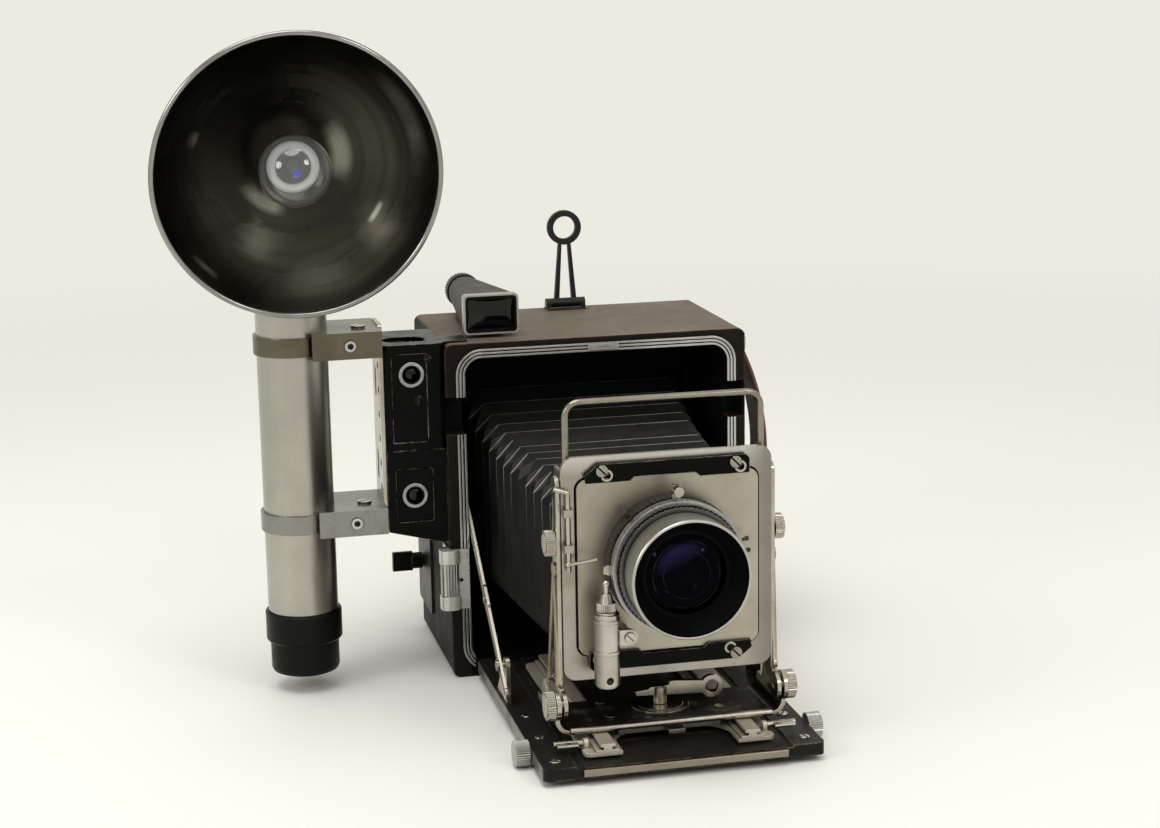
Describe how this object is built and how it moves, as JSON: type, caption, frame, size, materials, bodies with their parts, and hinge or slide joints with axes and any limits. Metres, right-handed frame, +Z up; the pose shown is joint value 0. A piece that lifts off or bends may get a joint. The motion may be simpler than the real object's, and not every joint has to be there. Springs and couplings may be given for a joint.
{
  "type": "press camera",
  "caption": "Folding press camera with drop bed, sliding lens standard, pleated bellows, side rangefinder, folding finders and a clamped battery flash with round reflector.",
  "frame": {"origin": "centre of the tripod socket's mouth in the underside of the case", "axes": "+Z up, -Y towards the subject through the lens, +X to the right as seen from the front"},
  "size_m": [0.3215, 0.3171, 0.3409],
  "materials": {
    "leather": "grained satin",
    "black_paint": "worn satin",
    "chrome": "polished, scuffed",
    "nickel": "aged satin",
    "steel": "satin",
    "brass": "worn plating",
    "alloy": "satin, scuffed",
    "black_alloy": "black lacquer, worn",
    "black_plastic": "satin gloss",
    "bellows_cloth": "matt folds",
    "curtain_cloth": "matt",
    "glass": "polished",
    "coated_glass": "polished, coated",
    "frosted_glass": "ground",
    "mirror": "polished bowl",
    "cell": "printed jacket, plain"
  },
  "bodies": {
    "case": {"case_shell": "leather", "tripod_bush": "steel", "front_trim": "chrome", "shutter_side_plate": "black_alloy", "focal_curtain": "curtain_cloth", "release_housing": "chrome", "strap_lugs": "chrome", "hand_strap": "leather", "back_frame": "black_alloy", "rangefinder_housing": "black_alloy", "rangefinder_cover": "black_alloy", "rangefinder_rings": "chrome", "finder_windows": "glass", "viewfinder_body": "black_alloy", "viewfinder_bezel": "alloy", "peep_bracket": "black_alloy", "flash_bracket": "nickel", "flash_clamps": "nickel", "flash_tube": "alloy", "batteries": "cell", "reflector": "mirror", "flash_bulb": "glass", "bellows": "bellows_cloth"},
    "key": {"winding_key": "black_paint"},
    "upper_roller": {"tension_roller": "steel"},
    "eyepiece": {"viewfinder_eyepiece": "black_plastic"},
    "peep": {"peep_sight": "black_alloy"},
    "release_button": {"release_bar": "chrome"},
    "film_back": {"back_panel": "black_alloy", "ground_glass": "frosted_glass"},
    "hood": {"hood_cover": "black_alloy"},
    "end_cap": {"flash_end_cap": "black_plastic"},
    "bed": {"bed": "black_alloy", "bed_edge_strip": "nickel"},
    "left_brace": {"brace_left": "nickel"},
    "right_brace": {"brace_right": "nickel"},
    "track": {"focus_track": "nickel"},
    "pinion": {"focus_pinion": "steel"},
    "stops": {"infinity_stops": "nickel"},
    "standard": {"standard_base": "nickel"},
    "lock_lever": {"standard_lock": "nickel"},
    "left_tilt_knob": {"tilt_knob_left": "nickel"},
    "right_tilt_knob": {"tilt_knob_right": "nickel"},
    "arms": {"standard_arms": "brass"},
    "front": {"lens_frame": "nickel", "lens_board": "alloy", "shutter_case": "black_alloy", "lens_barrel": "alloy", "lens_glass": "coated_glass", "solenoid_body": "alloy"},
    "left_rise_knob": {"rise_knob_left": "nickel"},
    "right_rise_knob": {"rise_knob_right": "nickel"},
    "upper_lock": {"upper_board_lock": "black_paint"},
    "lower_lock": {"lower_board_lock": "nickel"},
    "wire": {"wire_finder": "nickel"},
    "rod": {"release_rod": "nickel"},
    "speed_ring": {"shutter_ring": "chrome"},
    "cock": {"cocking_lever": "nickel"},
    "trip": {"release_arm": "nickel"},
    "plunger": {"solenoid_plunger": "steel"}
  },
  "joints": [
    {"name": "bed_drop", "type": "hinge", "parent": "case", "child": "bed", "pos_m": [0, -0.053, 0.0062], "axis": [1, 0, 0], "range_deg": [0, 15], "deforming": ["bellows"]},
    {"name": "left_brace_swing", "type": "hinge", "parent": "case", "child": "left_brace", "pos_m": [-0.0689, -0.035, 0.0934], "axis": [1, 0, 0], "range_deg": [0, 6]},
    {"name": "right_brace_swing", "type": "hinge", "parent": "case", "child": "right_brace", "pos_m": [0.0689, -0.035, 0.0934], "axis": [1, 0, 0], "range_deg": [0, 6]},
    {"name": "focus", "type": "slide", "parent": "bed", "child": "track", "axis": [0, -1, 0], "range_m": [0, 0.035], "deforming": ["bellows"]},
    {"name": "pinion_turn", "type": "hinge", "parent": "bed", "child": "pinion", "pos_m": [0, -0.184, 0.0066], "axis": [1, 0, 0], "range_deg": [-5, 840]},
    {"name": "stop_flip", "type": "hinge", "parent": "track", "child": "stops", "pos_m": [0, -0.196, 0.0136], "axis": [-1, 0, 0], "range_deg": [0, 85]},
    {"name": "standard_slide", "type": "slide", "parent": "track", "child": "standard", "axis": [0, 1, 0], "range_m": [0, 0.03], "deforming": ["bellows"]},
    {"name": "standard_lock_turn", "type": "hinge", "parent": "standard", "child": "lock_lever", "pos_m": [0, -0.168, 0.025], "axis": [0, 0, 1], "range_deg": [-30, 30]},
    {"name": "left_tilt_knob_turn", "type": "hinge", "parent": "standard", "child": "left_tilt_knob", "pos_m": [-0.058, -0.188, 0.03], "axis": [1, 0, 0], "range_deg": [-90, 90]},
    {"name": "right_tilt_knob_turn", "type": "hinge", "parent": "standard", "child": "right_tilt_knob", "pos_m": [0.058, -0.188, 0.03], "axis": [1, 0, 0], "range_deg": [-90, 90]},
    {"name": "front_tilt", "type": "hinge", "parent": "standard", "child": "arms", "pos_m": [0, -0.188, 0.03], "axis": [-1, 0, 0], "range_deg": [0, 12], "deforming": ["bellows"]},
    {"name": "front_rise", "type": "slide", "parent": "arms", "child": "front", "axis": [0, 0, 1], "range_m": [0, 0.019], "deforming": ["bellows"]},
    {"name": "left_rise_knob_turn", "type": "hinge", "parent": "front", "child": "left_rise_knob", "pos_m": [-0.056, -0.179, 0.106], "axis": [1, 0, 0], "range_deg": [-90, 90]},
    {"name": "right_rise_knob_turn", "type": "hinge", "parent": "front", "child": "right_rise_knob", "pos_m": [0.056, -0.179, 0.106], "axis": [1, 0, 0], "range_deg": [-90, 90]},
    {"name": "upper_lock_slide", "type": "slide", "parent": "front", "child": "upper_lock", "axis": [-0.7071, 0, 0.7071], "range_m": [0, 0.0034]},
    {"name": "lower_lock_slide", "type": "slide", "parent": "front", "child": "lower_lock", "axis": [0.7071, 0, -0.7071], "range_m": [0, 0.0034]},
    {"name": "wire_slide", "type": "slide", "parent": "front", "child": "wire", "axis": [0, 0, 1], "range_m": [-0.022, 0.03]},
    {"name": "release_rod_turn", "type": "hinge", "parent": "front", "child": "rod", "pos_m": [-0.048, -0.188, 0.11], "axis": [0, 0, 1], "range_deg": [0, 6]},
    {"name": "speed_ring_turn", "type": "hinge", "parent": "front", "child": "speed_ring", "pos_m": [0, -0.1998, 0.097], "axis": [0, -1, 0], "range_deg": [-60, 60]},
    {"name": "cocking", "type": "hinge", "parent": "front", "child": "cock", "pos_m": [0, -0.1998, 0.097], "axis": [0, -1, 0], "range_deg": [-35, 5]},
    {"name": "release_trip", "type": "hinge", "parent": "front", "child": "trip", "pos_m": [0, -0.1998, 0.097], "axis": [0, -1, 0], "range_deg": [-10, 0]},
    {"name": "solenoid_push", "type": "slide", "parent": "front", "child": "plunger", "axis": [0, 0, 1], "range_m": [0, 0.0025], "stiffness_N_per_m": 60, "springref_m": -0.002},
    {"name": "curtain_winding", "type": "hinge", "parent": "case", "child": "key", "pos_m": [0, 0.0345, 0.042], "axis": [1, 0, 0], "continuous": true},
    {"name": "tension_turn", "type": "hinge", "parent": "case", "child": "upper_roller", "pos_m": [0, 0.0345, 0.148], "axis": [1, 0, 0], "continuous": true},
    {"name": "eyepiece_turn", "type": "hinge", "parent": "case", "child": "eyepiece", "pos_m": [-0.0525, 0.046, 0.1903], "axis": [0, 1, 0], "range_deg": [-60, 60]},
    {"name": "peep_fold", "type": "hinge", "parent": "case", "child": "peep", "pos_m": [0.004, 0.042, 0.1816], "axis": [1, 0, 0], "range_deg": [0, 85]},
    {"name": "shutter_release", "type": "slide", "parent": "case", "child": "release_button", "axis": [1, 0, 0], "range_m": [0, 0.0015], "stiffness_N_per_m": 500},
    {"name": "back_spring", "type": "slide", "parent": "case", "child": "film_back", "axis": [0, 1, 0], "range_m": [0, 0.012], "stiffness_N_per_m": 900},
    {"name": "hood_open", "type": "hinge", "parent": "film_back", "child": "hood", "pos_m": [0, 0.0876, 0.1602], "axis": [1, 0, 0], "range_deg": [0, 105]},
    {"name": "end_cap_unscrew", "type": "hinge", "parent": "case", "child": "end_cap", "pos_m": [-0.1563, -0.039, 0.02], "axis": [0, 0, 1], "continuous": true}
  ],
  "couplings": [
    {"joint": "left_brace_swing", "follows": "bed_drop", "ratio": 0.393},
    {"joint": "right_brace_swing", "follows": "bed_drop", "ratio": 0.393},
    {"joint": "pinion_turn", "follows": "focus", "rad_per_m": 416.67},
    {"joint": "tension_turn", "follows": "curtain_winding", "ratio": 1},
    {"joint": "release_trip", "follows": "release_rod_turn", "ratio": -1.6}
  ]
}
